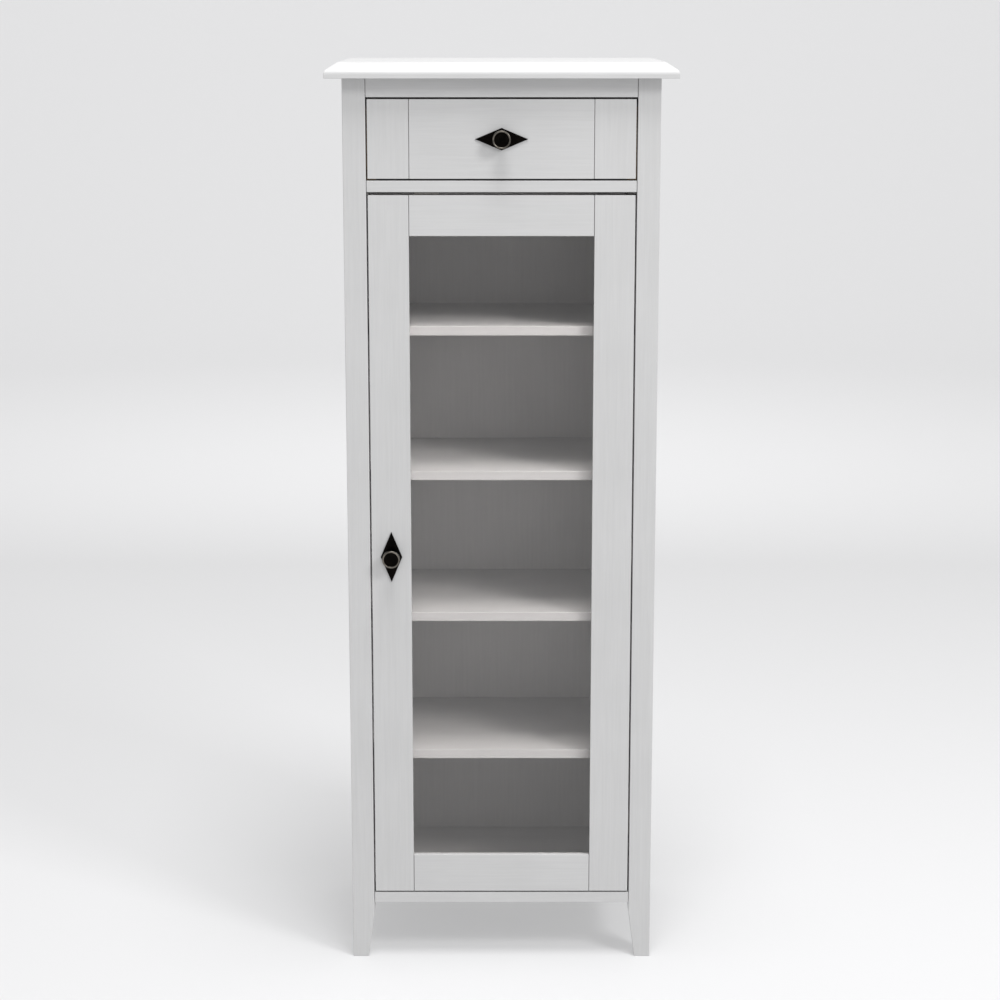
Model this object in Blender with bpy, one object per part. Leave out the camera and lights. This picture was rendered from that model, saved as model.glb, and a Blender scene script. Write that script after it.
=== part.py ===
"""Apothecary cabinet: a free-standing glazed cupboard of painted pine on tapered legs.

A drawer runs under the cornice, and a framed glass door hangs below it, flush inside the
front frame.  Every piece is one object, named as it would be on the bench, with its own
material.  Units are metres and +Z is up.  The front faces -Y, the hinges are on the +X side,
and the origin is on the floor under the middle of the cabinet.
"""
import math
from dataclasses import dataclass

import bmesh
import bpy
from mathutils import Matrix, Vector

# Overall sizes
HEIGHT = 1.784  # floor to the top of the cornice
WIDTH = 0.600  # over the outer faces of the posts
DEPTH = 0.400  # over the front and rear faces of the posts

# Clearances
SEAT = 0.0003  # between two pieces that touch
REVEAL = 0.0009  # open line at the shoulders of the front rails
SHELF_PLAY = 0.0010  # round a loose shelf
GLASS_PLAY = 0.0015  # round the pane in its rebate
DRAWER_PLAY = 0.0010  # between the drawer box and its guides
DRAWER_GAP = 0.0035  # above and below the drawer front
DRAWER_SIDE_GAP = 0.0030
DOOR_SIDE_GAP = 0.0030
DOOR_BOTTOM_GAP = 0.0030
DOOR_TOP_GAP = 0.0060
SHELF_DOOR_GAP = 0.0030  # between the shelves and the back of the door
SHELF_REAR_GAP = 0.0020  # between the shelves or guides and the back panel
DRAWER_REAR_GAP = 0.0257  # between the drawer box and the end of its guides
GUIDE_HEADROOM = 0.0176  # between the guides and the underside of the frieze

# Cornice board
TOP_THICKNESS = 0.030
TOP_OVERHANG = 0.032  # past the posts at the front and sides; the rear is flush
TOP_FACE_HEIGHT = 0.014  # upright part of the moulded edge
TOP_CHAMFER_WIDTH = 0.025
TOP_EDGE_ROUND = 0.006

# Posts
POST_SIZE = 0.0435
TAPER_HEIGHT = 0.096
TAPER_DEPTH = 0.0125  # taken off each inner side at the floor

# Rails of the front and rear frames
RAIL_THICKNESS = 0.022
RAIL_HEIGHT = 0.0215  # bottom and middle rails
MIDDLE_RAIL_DEPTH = POST_SIZE  # flush with the back of the posts
FRIEZE_HEIGHT = 0.035
LEG_HEIGHT = 0.116  # floor to the underside of the bottom rail
DRAWER_OPENING = 0.1555
RAIL_TENON = 0.015
RAIL_SHOULDER = 0.005

# Side frames and panels
SIDE_RAIL_HEIGHT = 0.060
SIDE_RAIL_THICKNESS = 0.026
SIDE_RAIL_SETBACK = 0.004  # behind the outer face of the posts
SIDE_PANEL_THICKNESS = 0.010
SIDE_PANEL_SETBACK = 0.012
BACK_PANEL_THICKNESS = 0.006
BACK_PANEL_SETBACK = 0.008
PANEL_HOUSING = 0.008  # how far a panel enters its grooves

# Boards and shelves
BOTTOM_THICKNESS = 0.018
BOTTOM_HOUSING = 0.006
DUST_THICKNESS = 0.009
SHELF_COUNT = 4
SHELF_THICKNESS = 0.018
CLEAT_HEIGHT = 0.020
CLEAT_THICKNESS = 0.020

# Drawer
DRAWER_FRONT_THICKNESS = 0.020
DRAWER_END_WIDTH = 0.078
DRAWER_WALL = 0.012
DRAWER_BOTTOM_THICKNESS = 0.005
DRAWER_BOTTOM_RISE = 0.012
DRAWER_BOTTOM_HOUSING = 0.006
GUIDE_WEB = 0.006
GUIDE_LIP_WIDTH = 0.012
GUIDE_LIP_HEIGHT = 0.008
FRONT_TENON = 0.010
FRONT_SHOULDER = 0.006

# Door
DOOR_THICKNESS = 0.022
STILE_WIDTH = 0.077
DOOR_RAIL_HEIGHT = 0.077
DOOR_TENON = 0.030
DOOR_SHOULDER = 0.0075
REBATE_WIDTH = 0.010
REBATE_FRONT = 0.010  # wood left in front of the glass
GLASS_THICKNESS = 0.003
BEAD_WIDTH = 0.009

# Knobs, back plates and their screws
KNOB_RADIUS = 0.0175
KNOB_LENGTH = 0.024
KNOB_NECK_RADIUS = 0.0075
KNOB_FOOT_RADIUS = 0.0095
KNOB_FOOT_LENGTH = 0.004
KNOB_NECK_LENGTH = 0.009  # from the plate to where the head begins
KNOB_RIM_ROUND = 0.0035
KNOB_RIM_WIDTH = 0.0085  # upright length of the head's edge
KNOB_DOME = 0.0012  # rise of the middle of the face over its rim
PLATE_LENGTH = 0.100
PLATE_WIDTH = 0.042
PLATE_THICKNESS = 0.0025
SCREW_RADIUS = 0.002
SCREW_HOLE_PLAY = 0.0004
SCREW_HEAD_RADIUS = 0.0042
SCREW_HEAD_HEIGHT = 0.0028
SCREW_GRIP = 0.012  # length inside the knob
DOOR_KNOB_DROP = 0.005  # below the middle of the door
TURNED_STEPS = 32
MERGE = 0.00001  # corners closer than this are one
SHARP_ANGLE = math.radians(35)

# Concealed hinges and the magnetic catch
HINGE_FROM_END = 0.1375  # from either end of the door to the middle of its hinge
PIVOT_INSET = 0.009  # from the hinge edge of the door to the axis
PIVOT_DEPTH = 0.003  # from the front face of the door to the axis
CUP_RADIUS = 0.0175
CUP_DEPTH = 0.0115
CUP_WALL = 0.0012
CUP_EDGE = 0.0225  # from the hinge edge of the door to the middle of the cup
FLANGE_LENGTH = 0.056
FLANGE_WIDTH = 0.020
FLANGE_THICKNESS = 0.0012
LINK_HEIGHT = 0.010
LINK_THICKNESS = 0.003
LINK_REACH = 0.005  # past the back of the door
ARM_GAP = 0.0035  # between the back of the door and the arm
ARM_HEIGHT = 0.016
ARM_LENGTH = 0.0185
ARM_DEPTH = 0.0135
ARM_ROUND = 0.004
BASE_HEIGHT = 0.054
BASE_THICKNESS = 0.002
BASE_DEPTH = 0.016
CATCH_LENGTH = 0.046
CATCH_HEIGHT = 0.013
CATCH_DEPTH = 0.015
STRIKE_LENGTH = 0.038
STRIKE_HEIGHT = 0.012
STRIKE_THICKNESS = 0.001
CATCH_FROM_EDGE = 0.110  # from the free edge of the door to the middle of the catch

# Planes that several pieces share
FRONT = -(DEPTH - TOP_OVERHANG) / 2
REAR = FRONT + DEPTH
POST_INNER = WIDTH / 2 - POST_SIZE
POST_TOP = HEIGHT - TOP_THICKNESS
FRIEZE_LOW = POST_TOP - FRIEZE_HEIGHT
MIDDLE_HIGH = FRIEZE_LOW - DRAWER_OPENING
MIDDLE_LOW = MIDDLE_HIGH - RAIL_HEIGHT
FLOOR_HIGH = LEG_HEIGHT + RAIL_HEIGHT
POST_BACK = FRONT + POST_SIZE
REAR_POST_FACE = REAR - POST_SIZE
PANEL_FACE = WIDTH / 2 - SIDE_PANEL_SETBACK - SIDE_PANEL_THICKNESS
BACK_FACE = REAR - BACK_PANEL_SETBACK - BACK_PANEL_THICKNESS
DUST_HIGH = MIDDLE_HIGH - SEAT
RUN_END = BACK_FACE - SHELF_REAR_GAP
SIDES = {"left": -1, "right": 1}


@dataclass(frozen=True)
class Box:
    """A box in world axes, given by its two ends along each axis."""

    x: tuple
    y: tuple
    z: tuple

    @property
    def centre(self):
        return Vector([(low + high) / 2 for low, high in (self.x, self.y, self.z)])

    @property
    def size(self):
        return Vector([high - low for low, high in (self.x, self.y, self.z)])

    def grown(self, margin):
        """Return the box with every face moved out by margin."""
        return Box(*((low - margin, high + margin) for low, high in (self.x, self.y, self.z)))

    def on_side(self, side):
        """Return the box for the +X side, or its mirror image for the -X side."""
        return self if side > 0 else Box((-self.x[1], -self.x[0]), self.y, self.z)


def clear_scene():
    """Remove whatever the file opened with."""
    for item in list(bpy.data.objects):
        bpy.data.objects.remove(item, do_unlink=True)


def finish(name, colour, roughness, metallic=0.0, transmission=0.0):
    """Return a Principled material with the given values."""
    material = bpy.data.materials.new(name)
    material.use_nodes = True
    shader = material.node_tree.nodes["Principled BSDF"]
    shader.inputs["Base Color"].default_value = (*colour, 1.0)
    shader.inputs["Roughness"].default_value = roughness
    shader.inputs["Metallic"].default_value = metallic
    shader.inputs["Transmission Weight"].default_value = transmission
    material.diffuse_color = (*colour, 1.0)
    return material


clear_scene()
WHITE_PAINT = finish("white_lacquered_pine", (0.78, 0.78, 0.77), 0.40)
BARE_PINE = finish("bare_pine", (0.62, 0.46, 0.29), 0.60)
BLACK_IRON = finish("blackened_iron", (0.012, 0.012, 0.013), 0.35, metallic=0.9)
NICKEL = finish("nickelled_steel", (0.56, 0.55, 0.53), 0.28, metallic=1.0)
GLASS = finish("clear_glass", (0.95, 0.97, 0.96), 0.02, transmission=1.0)
WHITE_PLASTIC = finish("white_plastic", (0.70, 0.70, 0.68), 0.45)


def add_mesh(name, bm, place, material, parent=None):
    """Turn a bmesh into a named object whose origin is at a world point.

    Args:
        name: Name of the object, which is its node.
        bm: The shape, drawn around its own origin.
        place: World position of that origin.
        material: The object's material, or None for a cutter.
        parent: The empty that carries a moving piece.
    """
    bmesh.ops.recalc_face_normals(bm, faces=bm.faces)
    mesh = bpy.data.meshes.new(name)
    bm.to_mesh(mesh)
    bm.free()
    if material is not None:
        mesh.materials.append(material)
    item = bpy.data.objects.new(name, mesh)
    bpy.context.scene.collection.objects.link(item)
    if parent is not None:
        item.parent = parent
        place = Vector(place) - parent.location
    item.location = place
    return item


def box_mesh(size):
    """Return a bmesh box of the given size about its middle."""
    bm = bmesh.new()
    bmesh.ops.create_cube(bm, size=1.0, matrix=Matrix.Diagonal((*size, 1.0)))
    return bm


def add_box(name, box, material, parent=None):
    """Add a plain rectangular piece."""
    return add_mesh(name, box_mesh(box.size), box.centre, material, parent)


def add_axis(name, place):
    """Add an empty that stands on a joint's axis."""
    empty = bpy.data.objects.new(name, None)
    bpy.context.scene.collection.objects.link(empty)
    empty.location = place
    return empty


def hide_tool(tool):
    """Mark an object as a cutter, which isn't a piece."""
    tool.hide_render = True
    tool.display_type = "WIRE"


def combine(host, tool, operation):
    """Cut a tool from its host, or join it on, with an exact Boolean."""
    modifier = host.modifiers.new(tool.name, "BOOLEAN")
    modifier.operation = operation
    modifier.solver = "EXACT"
    modifier.object = tool
    hide_tool(tool)


def house(host, box, label):
    """Cut the seat of a board, tenon or panel into its host, with a seat's clearance."""
    tool = add_box(f"{host.name}.{label}", box.grown(SEAT), None, host.parent)
    combine(host, tool, "DIFFERENCE")


def bore(host, centre, radius, length, label):
    """Drill a round hole along Y through a host."""
    tool = add_round(f"{host.name}.{label}", centre, radius, length, None, host.parent)
    combine(host, tool, "DIFFERENCE")


def add_round(name, centre, radius, length, material, parent=None):
    """Add a cylinder whose axis is along Y."""
    bm = bmesh.new()
    bmesh.ops.create_cone(bm, cap_ends=True, segments=TURNED_STEPS, radius1=radius,
                          radius2=radius, depth=length,
                          matrix=Matrix.Rotation(math.radians(90), 4, "X"))
    return add_mesh(name, bm, centre, material, parent)


def tenon_box(box, axis, end, length, shoulder):
    """Return the box of the tenon on one end of a rail.

    Args:
        box: The rail between its shoulders.
        axis: "x" or "y", the way that the rail runs.
        end: -1 or 1.
        length: Length of the tenon.
        shoulder: Wood taken off all round.
    """
    spans = {name: getattr(box, name) for name in "xyz"}
    for name in "xyz":
        low, high = spans[name]
        if name == axis:
            spans[name] = (low - length, low) if end < 0 else (high, high + length)
        else:
            spans[name] = (low + shoulder, high - shoulder)
    return Box(**spans)


def add_rail(name, box, axis, hosts, length, shoulder, material, parent=None):
    """Add a rail with a tenon on each end, and cut the mortises in its two hosts."""
    bm = box_mesh(box.size)
    way = Vector((1, 0, 0)) if axis == "x" else Vector((0, 1, 0))
    for end, host in zip((-1, 1), hosts):
        face = max(bm.faces, key=lambda item: item.calc_center_median().dot(way) * end)
        bmesh.ops.inset_individual(bm, faces=[face], thickness=shoulder, use_even_offset=True)
        grown = bmesh.ops.extrude_discrete_faces(bm, faces=[face])["faces"]
        corners = list({vert for item in grown for vert in item.verts})
        bmesh.ops.translate(bm, verts=corners, vec=way * end * length)
        house(host, tenon_box(box, axis, end, length, shoulder), f"{name}_mortise")
    return add_mesh(name, bm, box.centre, material, parent)


def add_outline(name, points, heights, material, parent=None):
    """Add a board cut to an outline in plan.

    Args:
        name: Name of the piece.
        points: Corners (x, y) of the outline, in order.
        heights: Lower and upper height of the board.
        material: The piece's material.
        parent: The empty that carries a moving piece.
    """
    bm = bmesh.new()
    corners = [bm.verts.new((x, y, 0.0)) for x, y in points]
    face = bm.faces.new(corners)
    raised = bmesh.ops.extrude_face_region(bm, geom=[face])["geom"]
    tops = [item for item in raised if isinstance(item, bmesh.types.BMVert)]
    bmesh.ops.translate(bm, verts=tops, vec=(0.0, 0.0, heights[1] - heights[0]))
    return add_mesh(name, bm, (0.0, 0.0, heights[0]), material, parent)


def add_turned(name, profile, place, material, parent=None):
    """Add a piece turned about Y from a profile of (radius, y) points."""
    bm = bmesh.new()
    points = [bm.verts.new((radius, y, 0.0)) for radius, y in profile]
    edges = [bm.edges.new(pair) for pair in zip(points, points[1:])]
    bmesh.ops.spin(bm, geom=points + edges, cent=(0, 0, 0), axis=(0, 1, 0),
                   angle=math.tau, steps=TURNED_STEPS, use_merge=True)
    bmesh.ops.remove_doubles(bm, verts=bm.verts, dist=MERGE)
    item = add_mesh(name, bm, place, material, parent)
    item.data.shade_smooth()
    item.data.set_sharp_from_angle(angle=SHARP_ANGLE)
    return item


def add_top_board():
    """Add the cornice board, whose front and side edges are moulded and whose rear is plain."""
    half = WIDTH / 2 + TOP_OVERHANG
    depth = REAR - FRONT + TOP_OVERHANG
    low = POST_TOP + SEAT
    bm = box_mesh((2 * half, depth, POST_TOP + TOP_FACE_HEIGHT - low))
    upper = max(bm.faces, key=lambda item: item.calc_center_median().z)
    brow = upper.calc_center_median().z
    raised = bmesh.ops.extrude_discrete_faces(bm, faces=[upper])["faces"][0]
    for vert in raised.verts:
        vert.co.z += TOP_THICKNESS - TOP_FACE_HEIGHT
        vert.co.x -= math.copysign(TOP_CHAMFER_WIDTH, vert.co.x)
        if vert.co.y < 0:
            vert.co.y += TOP_CHAMFER_WIDTH
    brim = [edge for edge in bm.edges if all(abs(vert.co.z - brow) < MERGE for vert in edge.verts)
            and min(vert.co.y for vert in edge.verts) < 0]
    bmesh.ops.bevel(bm, geom=brim, offset=TOP_EDGE_ROUND, segments=4, profile=0.5,
                    affect="EDGES", material=-1)
    middle = (low + POST_TOP + TOP_FACE_HEIGHT) / 2
    add_mesh("top_board", bm, (0.0, REAR - depth / 2, middle), WHITE_PAINT)


def add_post(name, side, end):
    """Add a post whose foot tapers on its two inner sides.

    Args:
        name: Name of the post.
        side: 1 on the +X side and -1 on the -X side.
        end: -1 at the front and 1 at the rear.
    """
    bm = box_mesh((POST_SIZE, POST_SIZE, POST_TOP - TAPER_HEIGHT))
    bmesh.ops.translate(bm, verts=bm.verts, vec=(0, 0, (POST_TOP + TAPER_HEIGHT) / 2))
    under = min(bm.faces, key=lambda item: item.calc_center_median().z)
    foot = bmesh.ops.extrude_discrete_faces(bm, faces=[under])["faces"][0]
    for vert in foot.verts:
        vert.co.z = 0.0
        if vert.co.x * side < 0:
            vert.co.x += side * TAPER_DEPTH
        if vert.co.y * end < 0:
            vert.co.y += end * TAPER_DEPTH
    y = FRONT + POST_SIZE / 2 if end < 0 else REAR - POST_SIZE / 2
    return add_mesh(name, bm, (side * (POST_INNER + POST_SIZE / 2), y, 0.0), WHITE_PAINT)


def notched_outline(front, rear, front_half, wide_half, rear_half):
    """Return the outline of a board that is notched round the four posts.

    Args:
        front: y of the front edge.
        rear: y of the rear edge.
        front_half: Half width between the front posts.
        wide_half: Half width between the front and rear posts.
        rear_half: Half width between the rear posts.
    """
    step_front = POST_BACK + SHELF_PLAY
    step_rear = REAR_POST_FACE - SHELF_PLAY
    right = [(front_half, front), (front_half, step_front), (wide_half, step_front),
             (wide_half, step_rear), (rear_half, step_rear), (rear_half, rear)]
    return right + [(-x, y) for x, y in reversed(right)]


def add_front_frame(posts):
    """Add the frieze, middle and bottom rails between the front posts."""
    hosts = (posts["front_left"], posts["front_right"])
    span = (-POST_INNER + REVEAL, POST_INNER - REVEAL)
    rails = {
        "frieze_rail": ((FRIEZE_LOW, POST_TOP), RAIL_THICKNESS),
        "middle_rail": ((MIDDLE_LOW, MIDDLE_HIGH), MIDDLE_RAIL_DEPTH),
        "bottom_rail": ((LEG_HEIGHT, FLOOR_HIGH), RAIL_THICKNESS),
    }
    for name, (heights, depth) in rails.items():
        box = Box(span, (FRONT, FRONT + depth), heights)
        add_rail(name, box, "x", hosts, RAIL_TENON, RAIL_SHOULDER, WHITE_PAINT)


def add_rear_frame(posts):
    """Add the two rear rails, and the back panel in their grooves and the posts'."""
    hosts = (posts["rear_left"], posts["rear_right"])
    span = (-POST_INNER + SEAT, POST_INNER - SEAT)
    reach = POST_INNER + PANEL_HOUSING
    heights = (FLOOR_HIGH - PANEL_HOUSING, FRIEZE_LOW + PANEL_HOUSING)
    panel = Box((-reach, reach), (BACK_FACE, BACK_FACE + BACK_PANEL_THICKNESS), heights)
    rows = {"rear_rail_upper": (FRIEZE_LOW, POST_TOP), "rear_rail_lower": (LEG_HEIGHT, FLOOR_HIGH)}
    for name, row in rows.items():
        box = Box(span, (REAR - RAIL_THICKNESS, REAR), row)
        rail = add_rail(name, box, "x", hosts, RAIL_TENON, RAIL_SHOULDER, WHITE_PAINT)
        house(rail, panel, "panel_groove")
    for post in hosts:
        house(post, panel, "back_groove")
    add_box("back_panel", panel, WHITE_PAINT)


def add_side_frame(label, side, posts, bottom):
    """Add one side's two rails and its panel, grooved into rails and posts."""
    hosts = (posts[f"front_{label}"], posts[f"rear_{label}"])
    outer = WIDTH / 2 - SIDE_RAIL_SETBACK
    span = (POST_BACK + SEAT, REAR_POST_FACE - SEAT)
    panel = Box((PANEL_FACE, PANEL_FACE + SIDE_PANEL_THICKNESS),
                (POST_BACK - PANEL_HOUSING, REAR_POST_FACE + PANEL_HOUSING),
                (LEG_HEIGHT + SIDE_RAIL_HEIGHT - PANEL_HOUSING,
                 POST_TOP - SIDE_RAIL_HEIGHT + PANEL_HOUSING)).on_side(side)
    rows = {"upper": (POST_TOP - SIDE_RAIL_HEIGHT, POST_TOP),
            "lower": (LEG_HEIGHT, LEG_HEIGHT + SIDE_RAIL_HEIGHT)}
    for level, row in rows.items():
        box = Box((outer - SIDE_RAIL_THICKNESS, outer), span, row).on_side(side)
        rail = add_rail(f"side_rail_{level}_{label}", box, "y", hosts, RAIL_TENON,
                        RAIL_SHOULDER, WHITE_PAINT)
        house(rail, panel, "panel_groove")
        if level == "lower":
            house(rail, bottom, "bottom_groove")
    for post in hosts:
        house(post, panel, "side_groove")
    add_box(f"side_panel_{label}", panel, WHITE_PAINT)


def add_bottom_panel():
    """Add the floor of the cupboard, and return the box of its wide part."""
    heights = (FLOOR_HIGH - BOTTOM_THICKNESS, FLOOR_HIGH)
    rail_face = WIDTH / 2 - SIDE_RAIL_SETBACK - SIDE_RAIL_THICKNESS
    wide = rail_face + BOTTOM_HOUSING
    front = FRONT + RAIL_THICKNESS + SEAT
    rear = REAR - RAIL_THICKNESS - SEAT
    inner = POST_INNER - SHELF_PLAY
    add_outline("bottom_panel", notched_outline(front, rear, inner, wide, inner), heights,
                WHITE_PAINT)
    return Box((-wide, wide), (POST_BACK, REAR_POST_FACE), heights)


def add_dust_panel():
    """Add the thin board between the drawer and the cupboard, behind the middle rail."""
    front = FRONT + MIDDLE_RAIL_DEPTH + SHELF_PLAY
    wide = PANEL_FACE - SHELF_PLAY
    rear_half = POST_INNER - SHELF_PLAY
    rear = BACK_FACE - SEAT
    step = REAR_POST_FACE - SHELF_PLAY
    right = [(wide, front), (wide, step), (rear_half, step), (rear_half, rear)]
    outline = right + [(-x, y) for x, y in reversed(right)]
    add_outline("dust_panel", outline, (DUST_HIGH - DUST_THICKNESS, DUST_HIGH), WHITE_PAINT)


def add_shelves():
    """Add the shelves at an even pitch, each on a cleat along either side."""
    front = FRONT + DOOR_THICKNESS + SHELF_DOOR_GAP
    inner = POST_INNER - SHELF_PLAY
    outline = notched_outline(front, RUN_END, inner, PANEL_FACE - SHELF_PLAY, inner)
    pitch = (DUST_HIGH - DUST_THICKNESS / 2 - FLOOR_HIGH) / (SHELF_COUNT + 1)
    for number in range(1, SHELF_COUNT + 1):
        low = FLOOR_HIGH + number * pitch - SHELF_THICKNESS / 2
        add_outline(f"shelf_{number}", outline, (low, low + SHELF_THICKNESS), WHITE_PAINT)
        for label, side in SIDES.items():
            cleat = Box((PANEL_FACE - SEAT - CLEAT_THICKNESS, PANEL_FACE - SEAT),
                        (POST_BACK + SEAT, REAR_POST_FACE - SEAT),
                        (low - SEAT - CLEAT_HEIGHT, low - SEAT)).on_side(side)
            add_box(f"shelf_cleat_{number}_{label}", cleat, WHITE_PAINT)


def add_drawer_guides(heights):
    """Add the two grooved guides that carry the drawer, stop it and keep it from tipping.

    Args:
        heights: Lower and upper height of the drawer box.
    """
    outer = POST_INNER - SEAT
    web = outer - GUIDE_WEB
    lip = web - GUIDE_LIP_WIDTH
    run = (FRONT + DRAWER_FRONT_THICKNESS + SEAT, RUN_END)
    runner = heights[0] - SEAT
    kicker = heights[1] + DRAWER_PLAY
    for label, side in SIDES.items():
        body = Box((lip, outer), run, (MIDDLE_HIGH + SEAT, kicker + GUIDE_LIP_HEIGHT)).on_side(side)
        guide = add_box(f"drawer_guide_{label}", body, BARE_PINE)
        slot = Box((lip - GUIDE_WEB, web), (run[0] - GUIDE_WEB, run[1] + GUIDE_WEB),
                   (runner, kicker)).on_side(side)
        combine(guide, add_box(f"{guide.name}.slot", slot, None), "DIFFERENCE")


def add_knob_set(prefix, centre, upright, thickness, parent):
    """Add a back plate, a turned knob and the screw that holds them.

    Args:
        prefix: "door" or "drawer".
        centre: Point of the wood's front face that the knob stands on.
        upright: True when the long way of the plate is vertical.
        thickness: Thickness of the wood behind the plate.
        parent: The empty that carries the knob.

    Returns:
        The centre and length of the hole that the wood needs.
    """
    hole = SCREW_RADIUS + SCREW_HOLE_PLAY
    half_x, half_z = PLATE_LENGTH / 2, PLATE_WIDTH / 2
    if upright:
        half_x, half_z = half_z, half_x
    bm = bmesh.new()
    corners = [(half_x, 0), (0, half_z), (-half_x, 0), (0, -half_z)]
    face = bm.faces.new([bm.verts.new((x, 0.0, z)) for x, z in corners])
    raised = bmesh.ops.extrude_face_region(bm, geom=[face])["geom"]
    fronts = [item for item in raised if isinstance(item, bmesh.types.BMVert)]
    bmesh.ops.translate(bm, verts=fronts, vec=(0, -PLATE_THICKNESS, 0))
    plate = add_mesh(f"{prefix}_knob_plate", bm, centre - Vector((0, SEAT, 0)), BLACK_IRON, parent)
    bore(plate, centre, hole, 4 * PLATE_THICKNESS, "hole")

    foot = centre - Vector((0, PLATE_THICKNESS + 2 * SEAT, 0))
    add_turned(f"{prefix}_knob", knob_profile(hole), foot, BLACK_IRON, parent)

    back = centre.y + thickness + SEAT
    tip = foot.y - SCREW_GRIP
    shank = [(0, tip), (SCREW_RADIUS, tip), (SCREW_RADIUS, back), (SCREW_HEAD_RADIUS, back),
             (SCREW_HEAD_RADIUS, back + SCREW_HEAD_HEIGHT), (0, back + SCREW_HEAD_HEIGHT)]
    profile = [(radius, y - centre.y) for radius, y in shank]
    add_turned(f"{prefix}_knob_screw", profile, centre, NICKEL, parent)
    return centre + Vector((0, thickness / 2, 0)), hole, 2 * thickness


def knob_profile(hole):
    """Return the turned outline of a knob, from its bore round to the middle of its face.

    Args:
        hole: Radius of the bore.
    """
    depth = SCREW_GRIP + 3 * SEAT
    face = KNOB_LENGTH - KNOB_DOME
    shoulder = KNOB_RADIUS - KNOB_RIM_ROUND
    rim = [(shoulder + KNOB_RIM_ROUND * math.cos(turn), KNOB_RIM_ROUND * (1 - math.sin(turn)) - face)
           for turn in (math.radians(angle) for angle in range(0, 91, 18))]
    return [(0, -depth), (hole, -depth), (hole, 0), (KNOB_FOOT_RADIUS, 0),
            (KNOB_NECK_RADIUS, -KNOB_FOOT_LENGTH), (KNOB_NECK_RADIUS, -KNOB_NECK_LENGTH),
            (KNOB_RADIUS - KNOB_RIM_ROUND / 2, KNOB_RIM_WIDTH - face), *rim,
            (shoulder / 2, -KNOB_LENGTH + KNOB_DOME / 4), (0, -KNOB_LENGTH)]


def add_drawer():
    """Add the drawer: a three-part front, a box, and its knob."""
    low, high = MIDDLE_HIGH + DRAWER_GAP, FRIEZE_LOW - DRAWER_GAP
    axis = add_axis("drawer_slide", (0.0, FRONT, (low + high) / 2))
    half = POST_INNER - DRAWER_SIDE_GAP
    joint = half - DRAWER_END_WIDTH
    depth = (FRONT, FRONT + DRAWER_FRONT_THICKNESS)
    end_box = Box((joint, half), depth, (low, high))
    ends = {label: add_box(f"drawer_front_{label}", end_box.on_side(side), WHITE_PAINT, axis)
            for label, side in SIDES.items()}
    middle = Box((-joint + REVEAL, joint - REVEAL), depth, (low, high))
    front = add_rail("drawer_front_middle", middle, "x", tuple(ends.values()), FRONT_TENON,
                     FRONT_SHOULDER, WHITE_PAINT, axis)

    outer = POST_INNER - SEAT - GUIDE_WEB - DRAWER_PLAY
    inner = outer - DRAWER_WALL
    start = depth[1] + SEAT
    end = RUN_END - DRAWER_REAR_GAP
    heights = (MIDDLE_HIGH + 3 * SEAT + GUIDE_LIP_HEIGHT,
               FRIEZE_LOW - GUIDE_HEADROOM - GUIDE_LIP_HEIGHT - DRAWER_PLAY)
    rise = heights[0] + DRAWER_BOTTOM_RISE
    floor = Box((-inner - DRAWER_BOTTOM_HOUSING, inner + DRAWER_BOTTOM_HOUSING),
                (depth[1] - DRAWER_BOTTOM_HOUSING, end - DRAWER_WALL + DRAWER_BOTTOM_HOUSING),
                (rise, rise + DRAWER_BOTTOM_THICKNESS))
    side_box = Box((inner, outer), (start, end), heights)
    sides = [add_box(f"drawer_side_{label}", side_box.on_side(side), BARE_PINE, axis)
             for label, side in SIDES.items()]
    back_box = Box((-inner + SEAT, inner - SEAT), (end - DRAWER_WALL, end), heights)
    back = add_box("drawer_back", back_box, BARE_PINE, axis)
    add_box("drawer_bottom", floor, BARE_PINE, axis)
    for host in (front, *ends.values(), *sides, back):
        house(host, floor, "bottom_groove")

    knob = Vector((0.0, FRONT, (low + high) / 2))
    bore(front, *add_knob_set("drawer", knob, False, DRAWER_FRONT_THICKNESS, axis), "knob_hole")
    add_drawer_guides(heights)


def add_door():
    """Add the door: its frame, pane and beads, knob, hinge cups and strike plate."""
    half = POST_INNER - DOOR_SIDE_GAP
    low, high = FLOOR_HIGH + DOOR_BOTTOM_GAP, MIDDLE_LOW - DOOR_TOP_GAP
    back = FRONT + DOOR_THICKNESS
    axis = add_axis("door_hinge_axis", (half - PIVOT_INSET, FRONT + PIVOT_DEPTH, (low + high) / 2))
    opening = half - STILE_WIDTH
    stile_box = Box((opening, half), (FRONT, back), (low, high))
    stiles = {label: add_box(f"door_stile_{label}", stile_box.on_side(side), WHITE_PAINT, axis)
              for label, side in SIDES.items()}
    rows = {"door_rail_lower": (low, low + DOOR_RAIL_HEIGHT),
            "door_rail_upper": (high - DOOR_RAIL_HEIGHT, high)}
    span = (-opening + REVEAL, opening - REVEAL)
    rails = [add_rail(name, Box(span, (FRONT, back), row), "x", tuple(stiles.values()), DOOR_TENON,
                      DOOR_SHOULDER, WHITE_PAINT, axis)
             for name, row in rows.items()]
    sight = Box((-opening, opening), (FRONT + REBATE_FRONT, back),
                (low + DOOR_RAIL_HEIGHT, high - DOOR_RAIL_HEIGHT))
    add_glazing(sight, [*stiles.values(), *rails], axis)

    knob = Vector((STILE_WIDTH / 2 - half, FRONT, (low + high) / 2 - DOOR_KNOB_DROP))
    bore(stiles["left"], *add_knob_set("door", knob, True, DOOR_THICKNESS, axis), "knob_hole")
    heights = {"lower": low + HINGE_FROM_END, "middle": (low + high) / 2, "upper": high - HINGE_FROM_END}
    for level, height in heights.items():
        add_hinge(level, height, half, back, stiles["right"], axis)
    add_catch(half, back, high, axis)


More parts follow.
